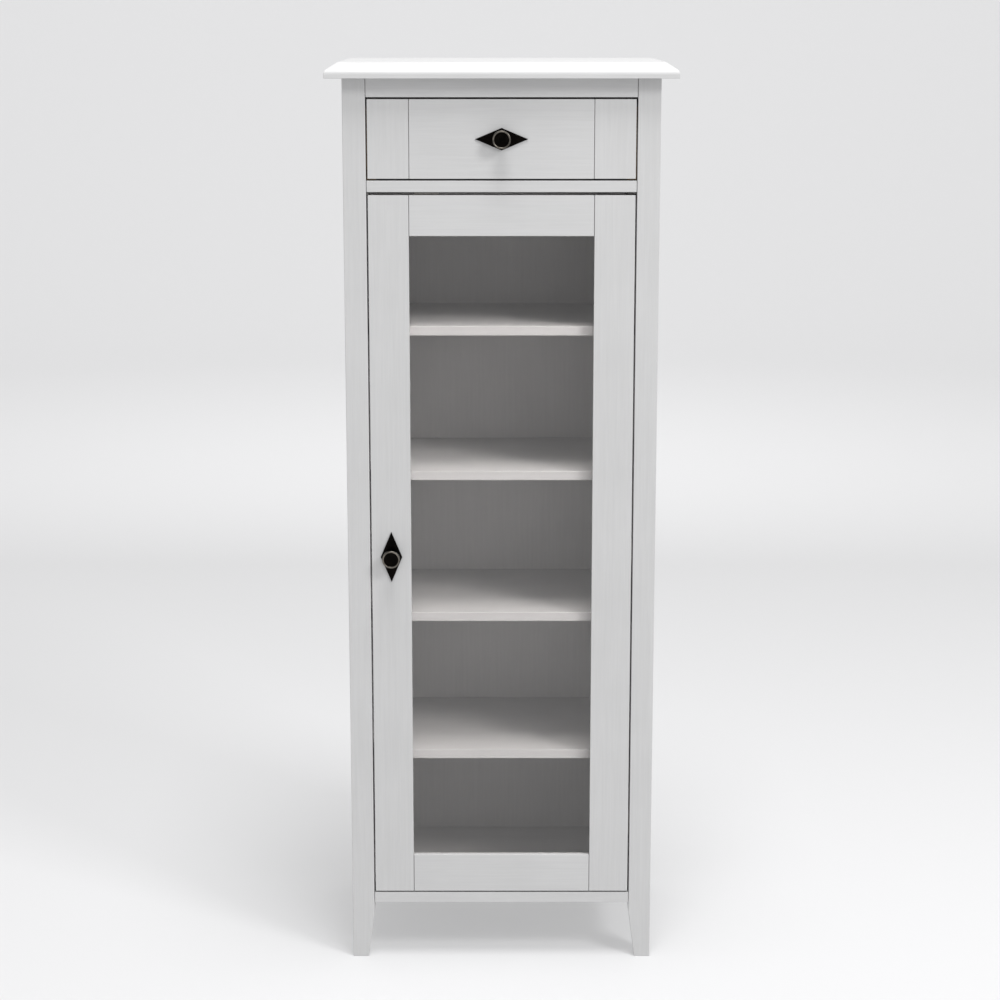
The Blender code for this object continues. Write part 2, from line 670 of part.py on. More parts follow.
def add_glazing(sight, frame, parent):
    """Rebate the door frame, and add the pane and the bead frame that holds it.

    Args:
        sight: The opening between the frame members, from the rebate's face to the back.
        frame: The stiles and rails that are rebated.
        parent: The empty that carries the door.
    """
    seat = Box((sight.x[0] - REBATE_WIDTH, sight.x[1] + REBATE_WIDTH),
               (sight.y[0], sight.y[1] + REBATE_WIDTH),
               (sight.z[0] - REBATE_WIDTH, sight.z[1] + REBATE_WIDTH))
    for member in frame:
        combine(member, add_box(f"{member.name}.rebate", seat, None, parent), "DIFFERENCE")
    glass_front = sight.y[0] + SEAT
    glass_back = glass_front + GLASS_THICKNESS
    reach = REBATE_WIDTH - GLASS_PLAY
    pane = Box((sight.x[0] - reach, sight.x[1] + reach), (glass_front, glass_back),
               (sight.z[0] - reach, sight.z[1] + reach))
    add_box("glass_pane", pane, GLASS, parent)
    rim = REBATE_WIDTH - SEAT
    outline = Box((sight.x[0] - rim, sight.x[1] + rim), (glass_back + SEAT, sight.y[1]),
                  (sight.z[0] - rim, sight.z[1] + rim))
    bead = add_box("glazing_bead", outline, WHITE_PAINT, parent)
    hole = BEAD_WIDTH - rim
    middle = Box((sight.x[0] + hole, sight.x[1] - hole), (glass_front, seat.y[1]),
                 (sight.z[0] + hole, sight.z[1] - hole))
    combine(bead, add_box("glazing_bead.middle", middle, None, parent), "DIFFERENCE")


def add_hinge(level, height, half, back, stile, parent):
    """Add one concealed hinge: the cup in the door, and the arm on the post.

    Args:
        level: "lower", "middle" or "upper".
        height: Height of the hinge's middle.
        half: x of the door's hinge edge.
        back: y of the door's back face.
        stile: The stile that the cup is let into.
        parent: The empty that carries the door.
    """
    middle = half - CUP_EDGE
    flange_back = back + SEAT + FLANGE_THICKNESS
    cup = add_round(f"hinge_cup_{level}", (middle, (back - CUP_DEPTH + flange_back) / 2, height),
                    CUP_RADIUS, flange_back - back + CUP_DEPTH, NICKEL, parent)
    flange = Box((middle - FLANGE_WIDTH / 2, middle + FLANGE_WIDTH / 2), (back + SEAT, flange_back),
                 (height - FLANGE_LENGTH / 2, height + FLANGE_LENGTH / 2))
    combine(cup, add_box(f"{cup.name}.flange", flange, None, parent), "UNION")
    cavity_front = back - CUP_DEPTH + CUP_WALL
    bore(cup, (middle, (cavity_front + back + CUP_DEPTH) / 2, height), CUP_RADIUS - CUP_WALL,
         back + CUP_DEPTH - cavity_front, "cavity")
    link = Box((middle - LINK_THICKNESS / 2, middle + LINK_THICKNESS / 2),
               (cavity_front - CUP_WALL / 2, back + LINK_REACH),
               (height - LINK_HEIGHT / 2, height + LINK_HEIGHT / 2))
    combine(cup, add_box(f"{cup.name}.link", link, None, parent), "UNION")
    bore(stile, (middle, back, height), CUP_RADIUS + SEAT, 2 * (CUP_DEPTH + SEAT), f"cup_{level}")

    face = POST_INNER - SEAT
    start = back + ARM_GAP
    base = Box((face - BASE_THICKNESS, face), (start, start + BASE_DEPTH),
               (height - BASE_HEIGHT / 2, height + BASE_HEIGHT / 2))
    arm = add_box(f"hinge_arm_{level}", base, NICKEL)
    reach = Box((face - ARM_LENGTH, face - BASE_THICKNESS / 2), (start, start + ARM_DEPTH),
                (height - ARM_HEIGHT / 2, height + ARM_HEIGHT / 2))
    bm = box_mesh(reach.size)
    tips = [edge for edge in bm.edges if all(vert.co.x < 0 for vert in edge.verts)
            and abs(edge.verts[0].co.z - edge.verts[1].co.z) > ARM_HEIGHT / 2]
    bmesh.ops.bevel(bm, geom=tips, offset=ARM_ROUND, segments=3, profile=0.5, affect="EDGES",
                    material=-1)
    combine(arm, add_mesh(f"{arm.name}.reach", bm, reach.centre, None), "UNION")


def add_catch(half, back, high, parent):
    """Add the magnetic catch under the middle rail, and its strike plate on the door."""
    middle = -half + CATCH_FROM_EDGE
    strike_back = back + SEAT + STRIKE_THICKNESS
    top = MIDDLE_LOW - SEAT
    add_box("magnetic_catch", Box((middle - CATCH_LENGTH / 2, middle + CATCH_LENGTH / 2),
                                  (strike_back + SEAT, strike_back + SEAT + CATCH_DEPTH),
                                  (top - CATCH_HEIGHT, top)), WHITE_PLASTIC)
    add_box("strike_plate", Box((middle - STRIKE_LENGTH / 2, middle + STRIKE_LENGTH / 2),
                                (back + SEAT, strike_back),
                                (high - DOOR_TOP_GAP / 2 - STRIKE_HEIGHT, high - DOOR_TOP_GAP / 2)),
            NICKEL, parent)


def main():
    """Build the whole cabinet."""
    posts = {f"{row}_{label}": add_post(f"post_{row}_{label}", side, end)
             for row, end in (("front", -1), ("rear", 1)) for label, side in SIDES.items()}
    add_top_board()
    add_front_frame(posts)
    add_rear_frame(posts)
    bottom = add_bottom_panel()
    for label, side in SIDES.items():
        add_side_frame(label, side, posts, bottom)
    add_dust_panel()
    add_shelves()
    add_drawer()
    add_door()


main()
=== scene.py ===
"""Looks of the apothecary cabinet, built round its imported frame.

The frame gives each solid its place and its body.  The joinery keeps its own shapes and gets
eased edges and a finish that follows the grain.  The fittings are drawn again in more detail:
turned knobs on diamond plates, mitred glazing beads, screws, and the magnetic catch.
Everything is in metres with +Z up, and the front faces -Y.
"""
import logging
import math
from collections.abc import Callable, Iterable, Sequence
from dataclasses import dataclass, field
from enum import Enum
from typing import Any

import bmesh
import bpy
from mathutils import Matrix, Vector


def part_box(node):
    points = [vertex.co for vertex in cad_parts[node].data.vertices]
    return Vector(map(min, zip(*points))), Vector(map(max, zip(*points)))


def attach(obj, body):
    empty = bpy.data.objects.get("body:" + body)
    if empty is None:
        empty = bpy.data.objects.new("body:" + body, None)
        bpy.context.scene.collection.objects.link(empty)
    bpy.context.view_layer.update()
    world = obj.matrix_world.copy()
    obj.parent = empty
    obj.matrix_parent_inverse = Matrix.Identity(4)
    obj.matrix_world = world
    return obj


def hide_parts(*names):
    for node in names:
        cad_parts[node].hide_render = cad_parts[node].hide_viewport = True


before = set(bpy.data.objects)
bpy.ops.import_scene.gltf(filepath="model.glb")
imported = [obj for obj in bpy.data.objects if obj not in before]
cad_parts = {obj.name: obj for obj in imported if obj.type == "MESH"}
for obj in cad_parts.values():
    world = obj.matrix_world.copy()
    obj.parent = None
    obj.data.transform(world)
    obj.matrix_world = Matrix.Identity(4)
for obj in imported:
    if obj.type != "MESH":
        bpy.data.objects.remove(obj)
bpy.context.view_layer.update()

LOG = logging.getLogger("apothecary_cabinet")
MERGE = 0.000005  # corners closer than this are one
FLAT = 1.0  # faces that turn by fewer degrees than this are one face
MILLIMETRE = 0.001
SIDES = {"left": -1, "right": 1}
LEVELS = ("lower", "middle", "upper")
RIM_WEAR_AND_HIGHLIGHT = "rim_wear_and_highlight"  # point attribute: 1 on the knob's beaded rim, where the iron is painted lighter as hand wear and as a painted highlight


class Body(str, Enum):
    """The bodies of the frame that a piece can ride on."""

    CABINET = "cabinet"
    DRAWER = "drawer"
    DOOR = "door"


class Slot(str, Enum):
    """The record's material slots."""

    LACQUER = "white_lacquer"
    PINE = "bare_pine"
    IRON = "black_iron"
    NICKEL = "nickelled_steel"
    GLASS = "clear_glass"
    PLASTIC = "white_plastic"


class Grain(Enum):
    """Which world axis the grain of a board runs along."""

    X = 0
    Y = 1
    Z = 2

    def stretch(self, across: float, along: float) -> Vector:
        """Return the scale that makes a pattern fine across the grain and long with it.

        Args:
            across: Width of one feature in metres.
            along: Length of one feature in metres.

        Returns:
            The scale for a Mapping node.
        """
        scale = Vector([1 / across] * 3)
        scale[self.value] = 1 / along
        return scale


# --------------------------------------------------------------------------- shader helpers


def linear(colour: str) -> tuple[float, float, float, float]:
    """Turn an sRGB hex colour into the linear colour that a shader takes.

    Args:
        colour: Six hex digits after a hash sign.

    Returns:
        Red, green, blue and an alpha of one.
    """
    shares = [int(colour[at:at + 2], 16) / 255 for at in (1, 3, 5)]
    bright = [s / 12.92 if s <= 0.04045 else ((s + 0.055) / 1.055) ** 2.4 for s in shares]
    return (*bright, 1.0)


def add_node(
    tree: bpy.types.NodeTree, kind: str, inputs: dict[Any, Any] | None = None, **settings: Any
) -> bpy.types.Node:
    """Add a node with its settings and links.

    Args:
        tree: The node tree that gets it.
        kind: Blender's name for the type of node.
        inputs: A value, or a socket to link from, for each input by name or number.
        settings: The node's own properties.

    Returns:
        The new node.
    """
    node = tree.nodes.new(kind)
    for name, value in settings.items():
        setattr(node, name, value)
    for key, value in (inputs or {}).items():
        if isinstance(value, bpy.types.NodeSocket):
            tree.links.new(value, node.inputs[key])
        else:
            node.inputs[key].default_value = value
    return node


def blank_material(name: str) -> tuple[bpy.types.Material, bpy.types.NodeTree]:
    """Return a new material and its emptied node tree."""
    material = bpy.data.materials.new(name)
    material.use_nodes = True
    material.node_tree.nodes.clear()
    return material, material.node_tree


# ------------------------------------------------------------------------------- finishes


@dataclass(frozen=True)
class LacqueredPine:
    """Solid pine sprayed with white satin lacquer.

    The film is smooth and even, with a soft sheen.  The late wood of each growth ring stands
    a hair proud under it, so long faint streaks follow the grain, and the sprayed film has a
    fine orange peel.
    """

    label: str = "white_lacquered_pine"
    colour: str = "#C8C8C8"
    shade: str = "#C2C2C2"
    rough_low: float = 0.34
    rough_high: float = 0.44
    ior: float = 1.50
    ring_width: float = 4.5 * MILLIMETRE
    ring_run: float = 190 * MILLIMETRE
    fibre_width: float = 1.3 * MILLIMETRE  # drawn coarser than a real fibre, so that it shows
    fibre_run: float = 45 * MILLIMETRE
    mottle: float = 120 * MILLIMETRE
    peel: float = 1.6 * MILLIMETRE
    fibre_share: float = 0.35
    mottle_share: float = 0.35
    ring_height: float = 0.04 * MILLIMETRE
    peel_height: float = 0.010 * MILLIMETRE

    def material(self, grain: Grain) -> bpy.types.Material:
        """Build the finish for boards whose grain runs one way.

        Args:
            grain: The axis that the boards' grain follows.

        Returns:
            The material.
        """
        material, tree = blank_material(f"{self.label}_{grain.name.lower()}")
        place = add_node(tree, "ShaderNodeTexCoord").outputs["Object"]
        rings = add_node(tree, "ShaderNodeMapping", {
            "Vector": place, "Scale": grain.stretch(self.ring_width, self.ring_run)})
        fibres = add_node(tree, "ShaderNodeMapping", {
            "Vector": place, "Scale": grain.stretch(self.fibre_width, self.fibre_run)})
        ring = add_node(tree, "ShaderNodeTexNoise", {
            "Vector": rings.outputs["Vector"], "Scale": 1.0, "Detail": 2.0, "Distortion": 0.5})
        fibre = add_node(tree, "ShaderNodeTexNoise", {
            "Vector": fibres.outputs["Vector"], "Scale": 1.0, "Detail": 1.0})
        mottle = add_node(tree, "ShaderNodeTexNoise", {
            "Vector": place, "Scale": 1 / self.mottle, "Detail": 2.0})
        peel = add_node(tree, "ShaderNodeTexNoise", {
            "Vector": place, "Scale": 1 / self.peel, "Detail": 1.0})
        streak = add_node(tree, "ShaderNodeMix", {
            0: self.fibre_share, 2: ring.outputs[0], 3: fibre.outputs[0]})
        tone = add_node(tree, "ShaderNodeMix", {
            0: self.mottle_share, 2: streak.outputs[0], 3: mottle.outputs[0]})
        share = add_node(tree, "ShaderNodeMapRange", {
            "Value": tone.outputs[0], "From Min": 0.38, "From Max": 0.64})
        colour = add_node(tree, "ShaderNodeMix", {
            0: share.outputs[0], 6: linear(self.colour), 7: linear(self.shade)}, data_type="RGBA")
        rough = add_node(tree, "ShaderNodeMapRange", {
            "Value": mottle.outputs[0], "From Min": 0.3, "From Max": 0.7,
            "To Min": self.rough_low, "To Max": self.rough_high})
        raised = add_node(tree, "ShaderNodeBump", {
            "Height": streak.outputs[0], "Strength": 1.0, "Distance": self.ring_height})
        skin = add_node(tree, "ShaderNodeBump", {
            "Height": peel.outputs[0], "Strength": 1.0, "Distance": self.peel_height,
            "Normal": raised.outputs[0]})
        shader = add_node(tree, "ShaderNodeBsdfPrincipled", {
            "Base Color": colour.outputs[2], "Roughness": rough.outputs[0], "IOR": self.ior,
            "Normal": skin.outputs[0]})
        add_node(tree, "ShaderNodeOutputMaterial", {"Surface": shader.outputs[0]})
        return material


@dataclass(frozen=True)
class BarePine:
    """Planed pine left bare inside the drawer.

    Pale straw early wood with darker resinous late-wood lines, nearly matt, and slightly
    ribbed where the plane left the hard lines proud.
    """

    label: str = "bare_pine"
    early: str = "#DBC097"
    late: str = "#B58D5B"
    warm: str = "#CDA675"
    rough_low: float = 0.50
    rough_high: float = 0.66
    ior: float = 1.50
    ring_width: float = 6.0 * MILLIMETRE
    ring_run: float = 260 * MILLIMETRE
    fibre_width: float = 0.9 * MILLIMETRE
    fibre_run: float = 30 * MILLIMETRE
    bow_scale: float = 0.22  # the broad noise whose contours make the cathedral figure
    contours: float = 58.0  # radians of late-wood lines over the whole range of that noise
    late_share: float = 0.7
    fibre_share: float = 0.4
    line_height: float = 0.06 * MILLIMETRE

    def material(self, grain: Grain) -> bpy.types.Material:
        """Build the finish for boards whose grain runs one way.

        Args:
            grain: The axis that the boards' grain follows.

        Returns:
            The material.
        """
        material, tree = blank_material(f"{self.label}_{grain.name.lower()}")
        place = add_node(tree, "ShaderNodeTexCoord").outputs["Object"]
        rings = add_node(tree, "ShaderNodeMapping", {
            "Vector": place, "Scale": grain.stretch(self.ring_width, self.ring_run)})
        fibres = add_node(tree, "ShaderNodeMapping", {
            "Vector": place, "Scale": grain.stretch(self.fibre_width, self.fibre_run)})
        bow = add_node(tree, "ShaderNodeTexNoise", {
            "Vector": rings.outputs["Vector"], "Scale": self.bow_scale, "Detail": 2.0,
            "Distortion": 0.8})
        lines = add_node(tree, "ShaderNodeMath", {
            0: bow.outputs[0], 1: self.contours}, operation="MULTIPLY")
        wave = add_node(tree, "ShaderNodeMath", {0: lines.outputs[0]}, operation="SINE")
        late = add_node(tree, "ShaderNodeMapRange", {
            "Value": wave.outputs[0], "From Min": 0.1, "From Max": 1.0})
        fibre = add_node(tree, "ShaderNodeTexNoise", {
            "Vector": fibres.outputs["Vector"], "Scale": 1.0, "Detail": 2.0})
        warmth = add_node(tree, "ShaderNodeMapRange", {
            "Value": fibre.outputs[0], "From Min": 0.35, "From Max": 0.75, "To Max": 0.6})
        body = add_node(tree, "ShaderNodeMix", {
            0: warmth.outputs[0], 6: linear(self.early), 7: linear(self.warm)}, data_type="RGBA")
        share = add_node(tree, "ShaderNodeMath", {
            0: late.outputs[0], 1: self.late_share}, operation="MULTIPLY")
        colour = add_node(tree, "ShaderNodeMix", {
            0: share.outputs[0], 6: body.outputs[2], 7: linear(self.late)}, data_type="RGBA")
        rough = add_node(tree, "ShaderNodeMapRange", {
            "Value": fibre.outputs[0], "From Min": 0.3, "From Max": 0.7,
            "To Min": self.rough_low, "To Max": self.rough_high})
        height = add_node(tree, "ShaderNodeMix", {
            0: self.fibre_share, 2: late.outputs[0], 3: fibre.outputs[0]})
        raised = add_node(tree, "ShaderNodeBump", {
            "Height": height.outputs[0], "Strength": 1.0, "Distance": self.line_height})
        shader = add_node(tree, "ShaderNodeBsdfPrincipled", {
            "Base Color": colour.outputs[2], "Roughness": rough.outputs[0], "IOR": self.ior,
            "Normal": raised.outputs[0]})
        add_node(tree, "ShaderNodeOutputMaterial", {"Surface": shader.outputs[0]})
        return material


@dataclass(frozen=True)
class GrainyMetal:
    """A metal whose surface is broken up by a fine grain and broad cloudy patches."""

    label: str
    colour: str
    shade: str
    rough_low: float
    rough_high: float
    pit: float
    pit_height: float
    cloud: float = 9 * MILLIMETRE
    rim_wear_and_highlight: str = "#A39C92"  # colour on the knob's beaded rim: hand wear and a painted highlight

    def material(self) -> bpy.types.Material:
        """Build the finish."""
        material, tree = blank_material(self.label)
        place = add_node(tree, "ShaderNodeTexCoord").outputs["Object"]
        pit = add_node(tree, "ShaderNodeTexNoise", {
            "Vector": place, "Scale": 1 / self.pit, "Detail": 3.0})
        cloud = add_node(tree, "ShaderNodeTexNoise", {
            "Vector": place, "Scale": 1 / self.cloud, "Detail": 2.0})
        share = add_node(tree, "ShaderNodeMapRange", {
            "Value": cloud.outputs[0], "From Min": 0.35, "From Max": 0.7})
        colour = add_node(tree, "ShaderNodeMix", {
            0: share.outputs[0], 6: linear(self.colour), 7: linear(self.shade)}, data_type="RGBA")
        # Painted highlight: the knob's beaded rim is coloured lighter, part hand wear and part a
        # stand-in for its shine.
        rim_wear_and_highlight_mask = add_node(tree, "ShaderNodeAttribute", attribute_name=RIM_WEAR_AND_HIGHLIGHT)
        patchy_rim_wear_and_highlight = add_node(tree, "ShaderNodeMath", {
            0: rim_wear_and_highlight_mask.outputs["Fac"], 1: cloud.outputs[0]}, operation="MULTIPLY")
        shown = add_node(tree, "ShaderNodeMix", {
            0: patchy_rim_wear_and_highlight.outputs[0], 6: colour.outputs[2], 7: linear(self.rim_wear_and_highlight)}, data_type="RGBA")
        rough = add_node(tree, "ShaderNodeMapRange", {
            "Value": pit.outputs[0], "From Min": 0.3, "From Max": 0.7,
            "To Min": self.rough_low, "To Max": self.rough_high})
        skin = add_node(tree, "ShaderNodeBump", {
            "Height": pit.outputs[0], "Strength": 1.0, "Distance": self.pit_height})
        shader = add_node(tree, "ShaderNodeBsdfPrincipled", {
            "Base Color": shown.outputs[2], "Metallic": 1.0, "Roughness": rough.outputs[0],
            "Normal": skin.outputs[0]})
        add_node(tree, "ShaderNodeOutputMaterial", {"Surface": shader.outputs[0]})
        return material


# Cast iron, blackened and waxed: nearly black, with a soft shine on its rounded rims; the knob's beaded
# rim also gets a lighter colour, part hand wear and part painted highlight.
BLACKENED_IRON = GrainyMetal(
    label="blackened_cast_iron", colour="#0D0C0B", shade="#14110F", rough_low=0.26,
    rough_high=0.40, pit=0.7 * MILLIMETRE, pit_height=0.02 * MILLIMETRE)
# Pressed steel with a nickel plate: bright, slightly warm, softly blurred reflections.
NICKELLED_STEEL = GrainyMetal(
    label="nickelled_steel", colour="#DAD8D4", shade="#C8C5BF", rough_low=0.22,
    rough_high=0.34, pit=0.5 * MILLIMETRE, pit_height=0.006 * MILLIMETRE)


@dataclass(frozen=True)
class FloatGlass:
    """Clear low-iron float glass, 3 mm thick: nearly colourless, a trace warm, and quite flat."""

    label: str = "clear_float_glass"
    tint: str = "#FEFCFB"
    ior: float = 1.45
    specular: float = 0.12
    rake: float = 5.0  # power of Schlick's rule for the part that a raking ray loses
    ripple: float = 160 * MILLIMETRE
    ripple_height: float = 0.02 * MILLIMETRE

    def material(self) -> bpy.types.Material:
        """Build the finish.

        The light of the lamps passes through it, less the part that a raking ray loses to
        reflection at each face.
        """
        material, tree = blank_material(self.label)
        place = add_node(tree, "ShaderNodeTexCoord").outputs["Object"]
        ripple = add_node(tree, "ShaderNodeTexNoise", {
            "Vector": place, "Scale": 1 / self.ripple, "Detail": 1.0})
        drawn = add_node(tree, "ShaderNodeBump", {
            "Height": ripple.outputs[0], "Strength": 1.0, "Distance": self.ripple_height})
        glass = add_node(tree, "ShaderNodeBsdfPrincipled", {
            "Base Color": linear(self.tint), "Roughness": 0.0, "IOR": self.ior,
            "Specular IOR Level": self.specular, "Transmission Weight": 1.0,
            "Normal": drawn.outputs[0]})
        slant = add_node(tree, "ShaderNodeLayerWeight", {"Blend": 0.5})
        lost = add_node(tree, "ShaderNodeMath", {
            0: slant.outputs["Facing"], 1: self.rake}, operation="POWER")
        passed = add_node(tree, "ShaderNodeMix", {
            0: lost.outputs[0], 6: linear(self.tint), 7: linear("#000000")}, data_type="RGBA")
        clear = add_node(tree, "ShaderNodeBsdfTransparent", {"Color": passed.outputs[2]})
        path = add_node(tree, "ShaderNodeLightPath")
        shown = add_node(tree, "ShaderNodeMixShader", {
            0: path.outputs["Is Shadow Ray"], 1: glass.outputs[0], 2: clear.outputs[0]})
        add_node(tree, "ShaderNodeOutputMaterial", {"Surface": shown.outputs[0]})
        return material


@dataclass(frozen=True)
class MouldedPlastic:
    """White moulded polypropylene: waxy, softly shining, with a fine spark-eroded texture."""

    label: str = "white_moulded_plastic"
    colour: str = "#E2E0DA"
    shade: str = "#D6D3CB"
    rough_low: float = 0.38
    rough_high: float = 0.50
    ior: float = 1.49
    texture: float = 0.6 * MILLIMETRE
    texture_height: float = 0.012 * MILLIMETRE

    def material(self) -> bpy.types.Material:
        """Build the finish."""
        material, tree = blank_material(self.label)
        place = add_node(tree, "ShaderNodeTexCoord").outputs["Object"]
        grit = add_node(tree, "ShaderNodeTexNoise", {
            "Vector": place, "Scale": 1 / self.texture, "Detail": 2.0})
        colour = add_node(tree, "ShaderNodeMix", {
            0: grit.outputs[0], 6: linear(self.colour), 7: linear(self.shade)}, data_type="RGBA")
        rough = add_node(tree, "ShaderNodeMapRange", {
            "Value": grit.outputs[0], "From Min": 0.3, "From Max": 0.7,
            "To Min": self.rough_low, "To Max": self.rough_high})
        skin = add_node(tree, "ShaderNodeBump", {
            "Height": grit.outputs[0], "Strength": 1.0, "Distance": self.texture_height})
        shader = add_node(tree, "ShaderNodeBsdfPrincipled", {
            "Base Color": colour.outputs[2], "Roughness": rough.outputs[0], "IOR": self.ior,
            "Normal": skin.outputs[0]})
        add_node(tree, "ShaderNodeOutputMaterial", {"Surface": shader.outputs[0]})
        return material


@dataclass
class Paintbox:
    """Every finish of the cabinet, each built once."""

    made: dict[str, bpy.types.Material] = field(default_factory=dict)

    def get(self, slot: Slot, grain: Grain = Grain.Z) -> bpy.types.Material:
        """Return the material for a slot.

        Args:
            slot: The record's slot.
            grain: The way the grain runs, which matters to the woods alone.

        Returns:
            The material, built at its first use.
        """
        builders: dict[Slot, Callable[[], bpy.types.Material]] = {
            Slot.LACQUER: lambda: LacqueredPine().material(grain),
            Slot.PINE: lambda: BarePine().material(grain),
            Slot.IRON: BLACKENED_IRON.material,
            Slot.NICKEL: NICKELLED_STEEL.material,
            Slot.GLASS: FloatGlass().material,
            Slot.PLASTIC: MouldedPlastic().material,
        }
        wood = slot in (Slot.LACQUER, Slot.PINE)
        key = f"{slot.value}.{grain.name}" if wood else slot.value
        if key not in self.made:
            self.made[key] = builders[slot]()
        return self.made[key]


# --------------------------------------------------------------------------- mesh helpers


def finish_piece(
    name: str, bm: bmesh.types.BMesh, material: bpy.types.Material, body: Body,
    replaces: Sequence[str] = (), sharp: float = 32.0,
) -> bpy.types.Object:
    """Turn a bmesh into a visible piece that rides on a body.

    Args:
        name: Name of the piece.
        bm: Its shape in world coordinates, which is used up.
        material: Its finish.
        body: The body it moves with.
        replaces: The nodes it stands for.
        sharp: Edges that turn by more degrees than this stay crisp.

    Returns:
        The piece.
    """
    bmesh.ops.remove_doubles(bm, verts=bm.verts, dist=MERGE)
    bmesh.ops.recalc_face_normals(bm, faces=bm.faces)
    mesh = bpy.data.meshes.new(name)
    bm.to_mesh(mesh)
    bm.free()
    mesh.materials.append(material)
    mesh.shade_smooth()
    mesh.set_sharp_from_angle(angle=math.radians(sharp))
    piece = bpy.data.objects.new(name, mesh)
    bpy.context.scene.collection.objects.link(piece)
    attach(piece, body.value)
    if replaces:
        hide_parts(*replaces)
    LOG.info("%s rides on %s, %d faces", name, body.value, len(mesh.polygons))
    return piece


def add_block(
    bm: bmesh.types.BMesh, low: Vector, high: Vector, ease: float, segments: int = 2
) -> None:
    """Add a block with eased edges to a shape.

    Args:
        bm: The shape that gets it.
        low: Its lowest corner.
        high: Its highest corner.
        ease: Radius of its edges.
        segments: Faces round each edge.
    """
    size = high - low
    place = Matrix.Translation((low + high) / 2) @ Matrix.Diagonal((*size, 1.0))
    corners = bmesh.ops.create_cube(bm, size=1.0, matrix=place)["verts"]
    edges = {edge for corner in corners for edge in corner.link_edges}
    bmesh.ops.bevel(bm, geom=list(edges), offset=ease, segments=segments, profile=0.5,
                    affect="EDGES", material=-1)


def turned(profile: Iterable[tuple[float, float]], steps: int) -> bmesh.types.BMesh:
    """Turn a profile about the Y axis.

    Args:
        profile: Radius and height of each point, where height is the distance towards -Y.
        steps: Faces round the axis.

    Returns:
        The turned shape, standing on the origin.
    """
    bm = bmesh.new()
    points = [bm.verts.new((radius, -height, 0.0)) for radius, height in profile]
    edges = [bm.edges.new(pair) for pair in zip(points, points[1:])]
    bmesh.ops.spin(bm, geom=[*points, *edges], cent=(0, 0, 0), axis=(0, 1, 0),
                   angle=math.tau, steps=steps, use_merge=True)
    bmesh.ops.remove_doubles(bm, verts=bm.verts, dist=MERGE)
    return bm


def arc(
    centre: tuple[float, float], radius: float, start: float, end: float, steps: int
) -> list[tuple[float, float]]:
    """Return points along an arc of a profile.

    Args:
        centre: Radius and height of the arc's centre.
        radius: Radius of the arc.
        start: Where it starts, in degrees.
        end: Where it ends, in degrees.
        steps: How many chords it has.

    Returns:
        The points, both ends included.
    """
    turns = [math.radians(start + (end - start) * step / steps) for step in range(steps + 1)]
    return [(centre[0] + radius * math.cos(t), centre[1] + radius * math.sin(t)) for t in turns]


def merge_into(
    bm: bmesh.types.BMesh, part: bmesh.types.BMesh, place: Matrix
) -> None:
    """Add a part to a shape at a place, and use the part up."""
    bmesh.ops.transform(part, matrix=place, verts=part.verts)
    mesh = bpy.data.meshes.new("passing_part")
    part.to_mesh(mesh)
    part.free()
    bm.from_mesh(mesh)
    bpy.data.meshes.remove(mesh)


def ease_edges(
    item: bpy.types.Object, name: str, width: float, segments: int, fold: float, clamp: bool
) -> None:
    """Round the edges of a node of the frame, whose own corners stay as they are.

    Args:
        item: The node.
        name: What to call the rounding.
        width: Radius of the edges.
        segments: Faces round each edge.
        fold: Edges that turn by fewer degrees are left alone.
        clamp: Whether the rounding stops where two edges meet.
    """
    item.modifiers.new("Weld", "WELD").merge_threshold = MERGE
    flat = item.modifiers.new("Flat faces", "DECIMATE")
    flat.decimate_type = "DISSOLVE"
    flat.angle_limit = math.radians(FLAT)
    bevel = item.modifiers.new(name, "BEVEL")
    bevel.width = width
    bevel.segments = segments
    bevel.limit_method = "ANGLE"
    bevel.angle_limit = math.radians(fold)
    bevel.use_clamp_overlap = clamp
    bevel.harden_normals = True


@dataclass(frozen=True)
class CrossHeadScrew:
    """The head of a wood screw with a cross recess, seen with its face up +Z."""

    radius: float
    height: float
    recess: float = 0.0009
    rim: float = 0.25  # share of the height that is an upright rim

    def shape(self) -> bmesh.types.BMesh:
        """Build the head, with its underside on the origin."""
        bm = bmesh.new()
        bmesh.ops.create_grid(bm, x_segments=5, y_segments=5, size=1.0)
        for corner in bm.verts:
            ring = max(abs(corner.co.x), abs(corner.co.y))
            if ring > 0.5:
                reach = self.radius * (1.0 if ring > 0.9 else 0.66)
                rise = self.rim if ring > 0.9 else 0.86
                corner.co = corner.co.normalized() * reach
                corner.co.z = self.height * rise
            else:
                corner.co *= self.radius * 0.9
                corner.co.z = self.height
        cross = [face for face in bm.faces
                 if min(abs(face.calc_center_median().x), abs(face.calc_center_median().y))
                 < self.radius * 0.05 and face.calc_center_median().length < self.radius * 0.6]
        sunk = bmesh.ops.extrude_face_region(bm, geom=cross)["geom"]
        bmesh.ops.delete(bm, geom=cross, context="FACES_ONLY")
        floor = [item for item in sunk if isinstance(item, bmesh.types.BMVert)]
        bmesh.ops.translate(bm, verts=floor, vec=(0, 0, -self.recess))
        edge = [item for item in bm.edges if item.is_boundary]
        skirt = bmesh.ops.extrude_edge_only(bm, edges=edge)["geom"]
        for corner in skirt:
            if isinstance(corner, bmesh.types.BMVert):
                corner.co.z = 0.0
        return bm

    def drive(self, bm: bmesh.types.BMesh, spot: Vector, facing: Vector, turn: float) -> None:
        """Add the head to a shape.

        Args:
            bm: The shape that gets it.
            spot: Where the screw enters the surface.
            facing: The way its face looks.
            turn: How far its cross is turned, in degrees.
        """
        look = facing.to_track_quat("Z", "Y").to_matrix().to_4x4()
        spun = Matrix.Rotation(math.radians(turn), 4, "Z")
        merge_into(bm, self.shape(), Matrix.Translation(spot) @ look @ spun)


# ------------------------------------------------------------------------------- joinery


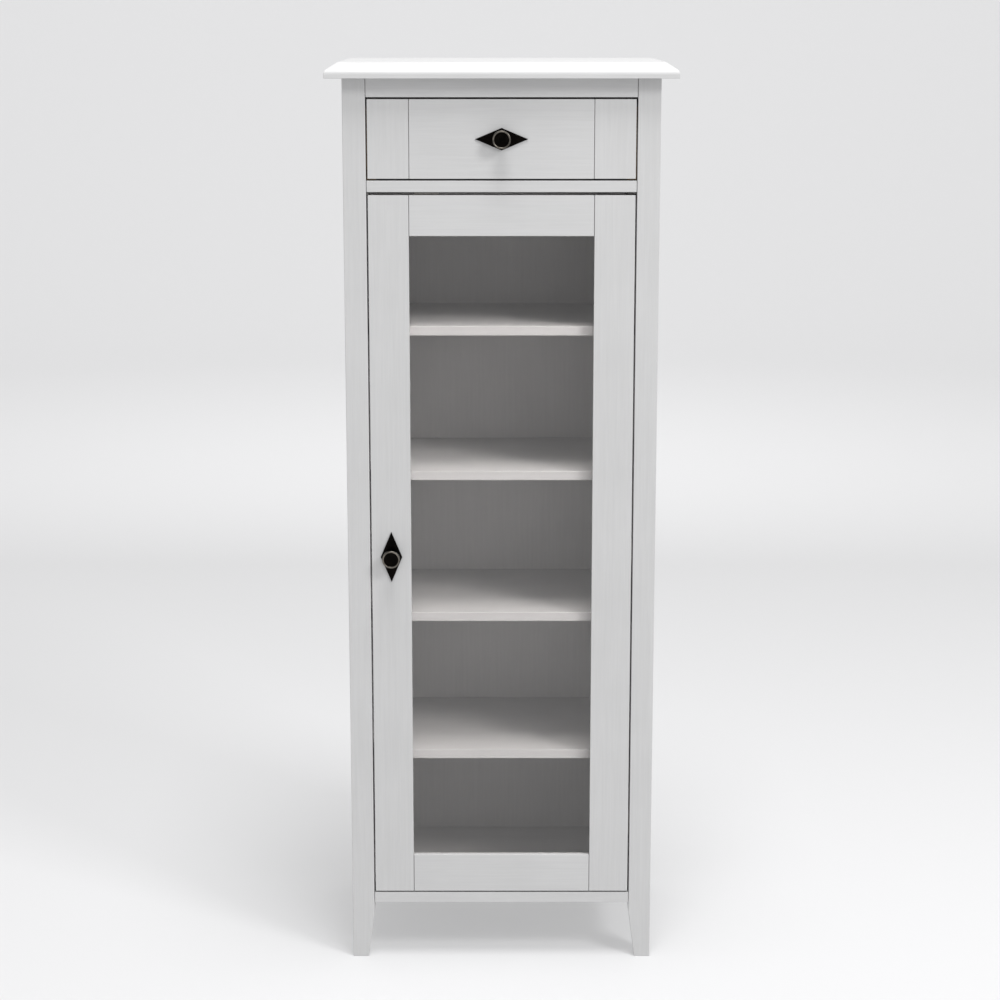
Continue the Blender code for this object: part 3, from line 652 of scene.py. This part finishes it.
@dataclass
class Joinery:
    """The wooden pieces, which keep the shapes of the frame and get eased edges."""

    paint: Paintbox
    post_ease: float = 1.4 * MILLIMETRE
    board_ease: float = 0.9 * MILLIMETRE
    panel_ease: float = 0.5 * MILLIMETRE
    segments: int = 3
    fold: float = 30.0  # edges that turn by fewer degrees are left alone

    def boards(self) -> dict[str, tuple[Slot, Grain, float]]:
        """Return the slot, the grain and the edge radius of each wooden node."""
        white, bare = Slot.LACQUER, Slot.PINE
        board, panel = self.board_ease, self.panel_ease
        listed: dict[str, tuple[Slot, Grain, float]] = {
            "top_board": (white, Grain.X, board), "frieze_rail": (white, Grain.X, board),
            "middle_rail": (white, Grain.X, board), "bottom_rail": (white, Grain.X, board),
            "rear_rail_upper": (white, Grain.X, board), "rear_rail_lower": (white, Grain.X, board),
            "back_panel": (white, Grain.Z, panel), "bottom_panel": (white, Grain.X, board),
            "dust_panel": (white, Grain.X, panel), "drawer_front_middle": (white, Grain.X, board),
            "door_rail_upper": (white, Grain.X, board), "door_rail_lower": (white, Grain.X, board),
            "drawer_back": (bare, Grain.X, board), "drawer_bottom": (bare, Grain.Y, panel),
        }
        for end in SIDES:
            listed |= {
                f"post_front_{end}": (white, Grain.Z, self.post_ease),
                f"post_rear_{end}": (white, Grain.Z, self.post_ease),
                f"side_rail_upper_{end}": (white, Grain.Y, board),
                f"side_rail_lower_{end}": (white, Grain.Y, board),
                f"side_panel_{end}": (white, Grain.Z, panel),
                f"door_stile_{end}": (white, Grain.Z, board),
                f"drawer_front_{end}": (white, Grain.Z, board),
                f"drawer_side_{end}": (bare, Grain.Y, board),
                f"drawer_guide_{end}": (bare, Grain.Y, panel),
            }
        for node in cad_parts:
            if node.startswith("shelf_cleat"):
                listed[node] = (white, Grain.Y, board)
            elif node.startswith("shelf"):
                listed[node] = (white, Grain.X, board)
        return listed

    def build(self) -> None:
        """Dress every wooden node."""
        for name, (slot, grain, ease) in self.boards().items():
            self.dress(name, self.paint.get(slot, grain), ease)

    def dress(self, name: str, material: bpy.types.Material, ease: float) -> None:
        """Give one node its finish and its eased edges.

        Args:
            name: The node.
            material: Its finish.
            ease: Radius of its edges.
        """
        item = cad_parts[name]
        item.data.materials.clear()
        item.data.materials.append(material)
        ease_edges(item, "Eased edges", ease, self.segments, self.fold, clamp=False)
        LOG.info("%s keeps its shape, with edges eased by %.1f mm", name, ease / MILLIMETRE)


# ------------------------------------------------------------------------------ fittings


@dataclass
class KnobSet:
    """A turned knob on a diamond back plate, with the screw that holds it from inside."""

    prefix: str
    body: Body
    paint: Paintbox
    plate_chamfer: float = 0.8 * MILLIMETRE
    bead_radius: float = 1.9 * MILLIMETRE
    dish_depth: float = 1.5 * MILLIMETRE
    neck_radius: float = 7.0 * MILLIMETRE
    foot_radius: float = 9.5 * MILLIMETRE
    neck_height: float = 8.0 * MILLIMETRE
    screw_head: float = 2.0 * MILLIMETRE
    washer: float = 0.6 * MILLIMETRE
    steps: int = 96

    def build(self) -> None:
        """Build the plate, the knob and the screw."""
        self.plate()
        self.knob()
        self.screw()

    def plate(self) -> None:
        """Build the diamond plate, with a chamfer round its face."""
        node = f"{self.prefix}_knob_plate"
        low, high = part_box(node)
        middle, half = (low + high) / 2, (high - low) / 2
        bm = bmesh.new()
        upright = Matrix.Rotation(math.radians(90), 4, "X")
        bmesh.ops.create_circle(bm, cap_ends=True, segments=4, radius=1.0, matrix=upright)
        bmesh.ops.scale(bm, vec=(half.x, 1.0, half.z), verts=bm.verts)
        raised = bmesh.ops.extrude_face_region(bm, geom=bm.faces[:])["geom"]
        fronts = [item for item in raised if isinstance(item, bmesh.types.BMVert)]
        bmesh.ops.translate(bm, verts=fronts, vec=(0, low.y - high.y, 0))
        rim = [edge for edge in bm.edges if all(vert in fronts for vert in edge.verts)]
        bmesh.ops.bevel(bm, geom=rim, offset=self.plate_chamfer, segments=3, profile=0.5,
                        affect="EDGES", material=-1)
        bmesh.ops.translate(bm, verts=bm.verts, vec=(middle.x, high.y, middle.z))
        finish_piece(f"{self.prefix}_back_plate", bm, self.paint.get(Slot.IRON), self.body,
                     replaces=[node], sharp=50)

    def knob(self) -> None:
        """Build the knob: a spread foot, a waisted neck, and a head with a beaded rim."""
        node = f"{self.prefix}_knob"
        low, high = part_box(node)
        reach, radius = high.y - low.y, (high.x - low.x) / 2
        bead = self.bead_radius
        rim = (radius - bead, reach - bead)
        dish = reach - self.dish_depth
        inner = radius - 2 * bead - 0.4 * MILLIMETRE
        waist = self.neck_radius
        profile = [
            (0.0, 0.0), (self.foot_radius - 0.4 * MILLIMETRE, 0.0),
            *arc((self.foot_radius - 0.8 * MILLIMETRE, 0.8 * MILLIMETRE), 0.8 * MILLIMETRE, -60, 60, 5),
            *arc((waist + 2.4 * MILLIMETRE, 3.9 * MILLIMETRE), 2.4 * MILLIMETRE, 250, 180, 5),
            (waist, self.neck_height - 1.5 * MILLIMETRE),
            *arc((waist + 5.5 * MILLIMETRE, self.neck_height), 5.5 * MILLIMETRE, 180, 100, 7),
            (radius - 2.6 * MILLIMETRE, reach - 8.2 * MILLIMETRE),
            *arc((radius - 2.4 * MILLIMETRE, reach - 5.8 * MILLIMETRE), 2.4 * MILLIMETRE, -78, 0, 6),
            *arc(rim, bead, -20, 178, 14),
            (inner, dish + 0.1 * MILLIMETRE), (inner * 0.8, dish - 0.25 * MILLIMETRE),
            (inner * 0.4, dish - 0.45 * MILLIMETRE), (0.0, dish - 0.5 * MILLIMETRE),
        ]
        bm = turned(profile, self.steps)
        self.mark_rim_wear_and_highlight(bm, radius, reach)
        centre = Vector(((low.x + high.x) / 2, high.y, (low.z + high.z) / 2))
        bmesh.ops.translate(bm, verts=bm.verts, vec=centre)
        finish_piece(f"{self.prefix}_turned_knob", bm, self.paint.get(Slot.IRON), self.body,
                     replaces=[node], sharp=40)

    def mark_rim_wear_and_highlight(self, bm: bmesh.types.BMesh, radius: float, reach: float) -> None:
        """Mark the beaded rim, which the iron paints lighter as hand wear and as a painted highlight,
        before the knob is put in its place.

        Args:
            bm: The turned knob.
            radius: Radius of its head.
            reach: Height of its head over the plate.
        """
        layer = bm.verts.layers.float.new(RIM_WEAR_AND_HIGHLIGHT)
        crest = radius - self.bead_radius
        for corner in bm.verts:
            away = abs(math.hypot(corner.co.x, corner.co.z) - crest) / self.bead_radius
            if -corner.co.y > reach - 2 * self.bead_radius:
                corner[layer] = max(0.0, 1.0 - away * away)

    def screw(self) -> None:
        """Build the screw, with its washer, behind the wood."""
        node = f"{self.prefix}_knob_screw"
        low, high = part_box(node)
        centre = Vector(((low.x + high.x) / 2, 0.0, (low.z + high.z) / 2))
        radius = (high.x - low.x) / 2
        seat = high.y - self.screw_head
        bm = turned([(0.0, 0.0), (radius * 0.45, 0.0), (radius * 0.45, seat - low.y),
                     (0.0, seat - low.y)], 24)
        bmesh.ops.translate(bm, verts=bm.verts, vec=(centre.x, seat, centre.z))
        washer = turned([(radius * 0.5, 0.0), (radius, 0.0), (radius, self.washer),
                         (radius * 0.5, self.washer)], 32)
        merge_into(bm, washer, Matrix.Translation((centre.x, seat, centre.z)))
        spot = Vector((centre.x, seat, centre.z))
        CrossHeadScrew(radius * 0.86, self.screw_head).drive(bm, spot, Vector((0, 1, 0)), 20)
        finish_piece(f"{self.prefix}_fixing_screw", bm, self.paint.get(Slot.NICKEL), self.body,
                     replaces=[node])


@dataclass
class Glazing:
    """The pane of the door and the four mitred beads that hold it."""

    paint: Paintbox
    joint: float = 0.12 * MILLIMETRE
    width: float = 9.0 * MILLIMETRE
    flat: float = 2.5 * MILLIMETRE
    pin_spacing: float = 190 * MILLIMETRE
    pin_radius: float = 0.9 * MILLIMETRE

    def build(self) -> None:
        """Dress the pane, and build the beads and their pins."""
        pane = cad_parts["glass_pane"]
        pane.data.materials.clear()
        pane.data.materials.append(self.paint.get(Slot.GLASS))
        self.beads()
        self.pins()

    def section(self, depth: float) -> list[tuple[float, float]]:
        """Return the quarter-round section of a bead.

        Args:
            depth: How far the bead stands behind the glass.

        Returns:
            Points of inward distance and height above the glass.
        """
        radius = self.width - self.flat
        curve = [(self.flat + x, depth - radius + y) for x, y in arc((0, 0), radius, 0, 90, 7)]
        return [(0.0, 0.0), (self.width, 0.0), *curve, (0.0, depth)]

    def beads(self) -> None:
        """Build the four beads, each a section drawn between its two mitres."""
        low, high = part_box("glazing_bead")
        section = self.section(high.y - low.y)
        for name, across, sign in (("lower", 2, 1), ("upper", 2, -1), ("left", 0, 1), ("right", 0, -1)):
            along = 2 - across
            start = low[across] if sign > 0 else high[across]
            bm = bmesh.new()
            ends = []
            for way, edge in ((1, low[along]), (-1, high[along])):
                ring = []
                for inward, rise in section:
                    spot = Vector((0.0, low.y + rise, 0.0))
                    spot[across] = start + sign * inward
                    spot[along] = edge + way * (inward + self.joint)
                    ring.append(bm.verts.new(spot))
                ends.append(bm.faces.new(ring))
            bm.edges.ensure_lookup_table()
            bmesh.ops.bridge_loops(bm, edges=[edge for face in ends for edge in face.edges])
            grain = Grain.X if along == 0 else Grain.Z
            replaces = ["glazing_bead"] if name == "lower" else []
            finish_piece(f"glazing_bead_{name}", bm, self.paint.get(Slot.LACQUER, grain), Body.DOOR,
                         replaces=replaces, sharp=28)

    def pins(self) -> None:
        """Build the heads of the pins that hold the beads."""
        low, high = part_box("glazing_bead")
        inset = self.flat * 0.5
        dome = [(self.pin_radius, -0.2 * MILLIMETRE), (self.pin_radius, 0.1 * MILLIMETRE),
                (self.pin_radius * 0.6, 0.25 * MILLIMETRE), (0.0, 0.3 * MILLIMETRE)]
        bm = bmesh.new()
        for along in (0, 2):
            across = 2 - along
            count = round((high[along] - low[along]) / self.pin_spacing)
            for number in range(count):
                share = (number + 0.5) / count
                for edge, sign in ((low, 1), (high, -1)):
                    spot = Vector((0.0, high.y, 0.0))
                    spot[across] = edge[across] + sign * inset
                    spot[along] = low[along] + share * (high[along] - low[along])
                    back = Matrix.Rotation(math.pi, 4, "Z")
                    merge_into(bm, turned(dome, 10), Matrix.Translation(spot) @ back)
        finish_piece("glazing_pins", bm, self.paint.get(Slot.NICKEL), Body.DOOR)


@dataclass
class Hinges:
    """The three concealed hinges: pressed cups on the door, arms on the post, and screws."""

    paint: Paintbox
    ease: float = 0.35 * MILLIMETRE
    segments: int = 2
    fold: float = 40.0  # edges that turn by fewer degrees are left alone
    flange_screw: float = 3.2 * MILLIMETRE
    flange_face: float = 3.5 * MILLIMETRE  # from the back of the cup's box to the face of its flange
    flange_inset: float = 5.5 * MILLIMETRE  # from the end of the flange to its screw
    plate_screw: float = 3.4 * MILLIMETRE
    plate_thickness: float = 2.0 * MILLIMETRE
    plate_share: float = 0.38  # of the plate's height, from its middle to each screw
    arm_screw: float = 2.88 * MILLIMETRE
    arm_head: float = 0.63 * MILLIMETRE
    head: float = 0.9 * MILLIMETRE

    def build(self) -> None:
        """Dress the pressed parts and add the screws of each hinge."""
        for number, level in enumerate(LEVELS):
            for part in ("cup", "arm"):
                self.press(f"hinge_{part}_{level}")
            self.cup_screws(level, 35.0 * number)
            self.arm_screws(level, 20.0 + 25.0 * number)

    def press(self, name: str) -> None:
        """Give a pressed steel node its finish and its folded edges."""
        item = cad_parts[name]
        item.data.materials.clear()
        item.data.materials.append(self.paint.get(Slot.NICKEL))
        ease_edges(item, "Pressed edges", self.ease, self.segments, self.fold, clamp=True)
        LOG.info("%s keeps its shape", name)

    def cup_screws(self, level: str, turn: float) -> None:
        """Add the two screws through the flange of a cup.

        Args:
            level: Which hinge.
            turn: How far the screws are turned, in degrees.
        """
        low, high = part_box(f"hinge_cup_{level}")
        middle = (low + high) / 2
        reach = (high.z - low.z) / 2 - self.flange_inset
        back = high.y - self.flange_face
        screw = CrossHeadScrew(self.flange_screw, self.head)
        bm = bmesh.new()
        for side in (-1, 1):
            spot = Vector((middle.x, back, middle.z + side * reach))
            screw.drive(bm, spot, Vector((0, 1, 0)), turn * side)
        finish_piece(f"hinge_cup_screws_{level}", bm, self.paint.get(Slot.NICKEL), Body.DOOR)

    def arm_screws(self, level: str, turn: float) -> None:
        """Add the two screws of a base plate, and the one that adjusts the arm.

        Args:
            level: Which hinge.
            turn: How far the screws are turned, in degrees.
        """
        low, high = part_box(f"hinge_arm_{level}")
        middle = (low + high) / 2
        plate = high.x - self.plate_thickness
        screw = CrossHeadScrew(self.plate_screw, self.head)
        bm = bmesh.new()
        for side in (-1, 1):
            spot = Vector((plate, middle.y, middle.z + side * self.plate_share * (high.z - low.z)))
            screw.drive(bm, spot, Vector((-1, 0, 0)), turn)
        spot = Vector((low.x, middle.y, middle.z))
        adjuster = CrossHeadScrew(self.arm_screw, self.arm_head)
        adjuster.drive(bm, spot, Vector((-1, 0, 0)), -turn)
        finish_piece(f"hinge_arm_screws_{level}", bm, self.paint.get(Slot.NICKEL), Body.CABINET)


@dataclass
class MagneticCatch:
    """The catch under the middle rail, and the plate on the door that it holds."""

    paint: Paintbox
    pole_thickness: float = 0.9 * MILLIMETRE
    pole_gap: float = 4.6 * MILLIMETRE
    pole_reach: float = 0.6 * MILLIMETRE
    pole_inset: float = 5 * MILLIMETRE  # from the end of the housing to the end of a pole
    pole_ease: float = 0.15 * MILLIMETRE
    housing_ease: float = 1.2 * MILLIMETRE
    screw_radius: float = 3.0 * MILLIMETRE
    screw_height: float = 0.6 * MILLIMETRE
    screw_offset: float = 15 * MILLIMETRE  # from the middle of the housing to each screw
    screw_sink: float = 0.1 * MILLIMETRE
    strike_ease: float = 0.4 * MILLIMETRE
    strike_sink: float = 0.45 * MILLIMETRE
    strike_recess: float = 0.5 * MILLIMETRE

    def build(self) -> None:
        """Build the housing, its steel poles, and the strike plate."""
        low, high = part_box("magnetic_catch")
        body_low = low + Vector((0, self.pole_reach, 0))
        bm = bmesh.new()
        add_block(bm, body_low, high, self.housing_ease, 3)
        finish_piece("catch_housing", bm, self.paint.get(Slot.PLASTIC), Body.CABINET,
                     replaces=["magnetic_catch"])
        middle = (low + high) / 2
        inset = Vector((self.pole_inset, 0, 0))
        bm = bmesh.new()
        for side in (-1, 1):
            height = middle.z + side * self.pole_gap / 2
            start = Vector((low.x, low.y, height - self.pole_thickness / 2)) + inset
            end = Vector((high.x, middle.y, height + self.pole_thickness / 2)) - inset
            add_block(bm, start, end, self.pole_ease)
        screw = CrossHeadScrew(self.screw_radius, self.screw_height)
        for side in (-1, 1):
            spot = Vector((middle.x + side * self.screw_offset, middle.y, low.z + self.screw_sink))
            screw.drive(bm, spot, Vector((0, 0, -1)), 30 * side)
        finish_piece("catch_poles_and_screws", bm, self.paint.get(Slot.NICKEL), Body.CABINET)
        self.strike()

    def strike(self) -> None:
        """Build the strike plate with its countersunk screw."""
        low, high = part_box("strike_plate")
        bm = bmesh.new()
        add_block(bm, low, high, self.strike_ease)
        spot = Vector(((low.x + high.x) / 2, high.y - self.strike_sink, (low.z + high.z) / 2))
        screw = CrossHeadScrew(self.screw_radius, self.screw_height, recess=self.strike_recess)
        screw.drive(bm, spot, Vector((0, 1, 0)), 10)
        finish_piece("strike_plate_with_screw", bm, self.paint.get(Slot.NICKEL), Body.DOOR,
                     replaces=["strike_plate"])


@dataclass
class CleatScrews:
    """The screws that hold the shelf cleats to the sides."""

    paint: Paintbox
    radius: float = 3.4 * MILLIMETRE
    height: float = 0.5 * MILLIMETRE
    recess: float = 0.4 * MILLIMETRE
    shares: tuple[float, ...] = (0.12, 0.5, 0.88)  # of the cleat's length, to each screw

    def build(self) -> None:
        """Build the heads on each side as one piece."""
        head = CrossHeadScrew(self.radius, self.height, self.recess)
        for end, side in SIDES.items():
            bm = bmesh.new()
            nodes = sorted(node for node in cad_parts
                           if node.startswith("shelf_cleat") and node.endswith(end))
            for number, node in enumerate(nodes):
                low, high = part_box(node)
                face = low.x if side > 0 else high.x
                for share in self.shares:
                    spot = Vector((face, low.y + share * (high.y - low.y), (low.z + high.z) / 2))
                    head.drive(bm, spot, Vector((-side, 0, 0)), 17 * number + 40 * share)
            finish_piece(f"cleat_screws_{end}", bm, self.paint.get(Slot.NICKEL), Body.CABINET)


# ------------------------------------------------------------------------------- studio


@dataclass
class Studio:
    """The room round the cabinet: a pale floor that sweeps up, soft lights and the camera."""

    floor_radius: float = 8.0
    cove_radius: float = 3.5
    wall_height: float = 7.0
    steps: int = 96
    floor_colour: str = "#C0C0C1"
    floor_glow: float = 0.27
    sky_strength: float = 0.60
    camera_place: tuple[float, float, float] = (-0.003, -4.560, 1.877)
    camera_tilt: float = 12.0
    focal_share: float = 2.30  # focal length over the width of the sensor

    def build(self) -> None:
        """Build the sweep, the lights and the camera."""
        self.sweep()
        self.sky()
        self.lights()
        self.camera()

    def sweep(self) -> None:
        """Build the floor and wall in one curved sheet."""
        bm = bmesh.new()
        cove = arc((self.floor_radius, self.cove_radius), self.cove_radius, -90, 0, 16)
        profile = [(0.0, 0.0), (self.floor_radius * 0.5, 0.0), *cove,
                   (self.floor_radius + self.cove_radius, self.wall_height)]
        points = [bm.verts.new((radius, 0.0, height)) for radius, height in profile]
        edges = [bm.edges.new(pair) for pair in zip(points, points[1:])]
        bmesh.ops.spin(bm, geom=[*points, *edges], cent=(0, 0, 0), axis=(0, 0, 1),
                       angle=math.tau, steps=self.steps, use_merge=True)
        bmesh.ops.remove_doubles(bm, verts=bm.verts, dist=MERGE)
        bmesh.ops.recalc_face_normals(bm, faces=bm.faces)
        bmesh.ops.reverse_faces(bm, faces=bm.faces)
        mesh = bpy.data.meshes.new("studio_sweep")
        bm.to_mesh(mesh)
        bm.free()
        mesh.shade_smooth()
        material, tree = blank_material("matt_studio_paint")
        shader = add_node(tree, "ShaderNodeBsdfPrincipled", {
            "Base Color": linear(self.floor_colour), "Roughness": 0.9, "Specular IOR Level": 0.1,
            "Emission Color": linear("#FFFFFF"), "Emission Strength": self.floor_glow})
        add_node(tree, "ShaderNodeOutputMaterial", {"Surface": shader.outputs[0]})
        mesh.materials.append(material)
        item = bpy.data.objects.new("studio_sweep", mesh)
        bpy.context.scene.collection.objects.link(item)

    def sky(self) -> None:
        """Set the even light that falls in from above the sweep."""
        world = bpy.data.worlds.new("studio_light")
        world.use_nodes = True
        world.node_tree.nodes.clear()
        glow = add_node(world.node_tree, "ShaderNodeBackground", {
            "Color": linear("#FFFFFF"), "Strength": self.sky_strength})
        add_node(world.node_tree, "ShaderNodeOutputWorld", {"Surface": glow.outputs[0]})
        bpy.context.scene.world = world

    def lights(self) -> None:
        """Hang the soft lights."""
        self.softbox("key_softbox", (3.4, -3.3, 4.3), (0.0, 0.0, 1.0), 1.4, 122.0)
        self.softbox("top_softbox", (0.15, -0.5, 5.4), (0.1, -0.4, 0.0), 1.0, 60.0)
        self.softbox("front_softbox", (0.15, -1.6, 5.4), (0.1, -0.4, 0.3), 1.2, 84.0)
        self.softbox("wall_softbox", (0.0, 3.2, 4.0), (0.0, 11.5, 4.0), 3.0, 170.0)

    def softbox(
        self, name: str, place: tuple[float, float, float], target: tuple[float, float, float],
        size: float, power: float,
    ) -> None:
        """Hang one square soft light.

        Args:
            name: Its name.
            place: Where it hangs.
            target: The point it faces.
            size: Length of its side.
            power: Its power in watts.
        """
        lamp = bpy.data.lights.new(name, "AREA")
        lamp.shape = "SQUARE"
        lamp.size = size
        lamp.energy = power
        item = bpy.data.objects.new(name, lamp)
        bpy.context.scene.collection.objects.link(item)
        item.location = place
        aim = Vector(target) - Vector(place)
        item.rotation_mode = "QUATERNION"
        item.rotation_quaternion = aim.to_track_quat("-Z", "Y")
        item.visible_camera = False

    def camera(self) -> None:
        """Set the camera at eye height in front of the cabinet."""
        lens = bpy.data.cameras.new("front_camera")
        lens.sensor_width = 36.0
        lens.lens = self.focal_share * lens.sensor_width
        lens.clip_start, lens.clip_end = 0.1, 60.0
        item = bpy.data.objects.new("front_camera", lens)
        bpy.context.scene.collection.objects.link(item)
        item.location = self.camera_place
        item.rotation_mode = "XYZ"
        item.rotation_euler = (math.radians(90 - self.camera_tilt), 0.0, 0.0)
        bpy.context.scene.camera = item
        bpy.context.scene.view_settings.view_transform = "Standard"


def main() -> None:
    """Dress the cabinet, build its fittings and set the studio."""
    logging.basicConfig(level=logging.INFO, format="%(name)s: %(message)s")
    paint = Paintbox()
    parts = [
        Joinery(paint), KnobSet("drawer", Body.DRAWER, paint), KnobSet("door", Body.DOOR, paint),
        Glazing(paint), Hinges(paint), MagneticCatch(paint), CleatScrews(paint), Studio(),
    ]
    for part in parts:
        LOG.info("building %s", type(part).__name__)
        part.build()


if __name__ == "__main__":
    main()
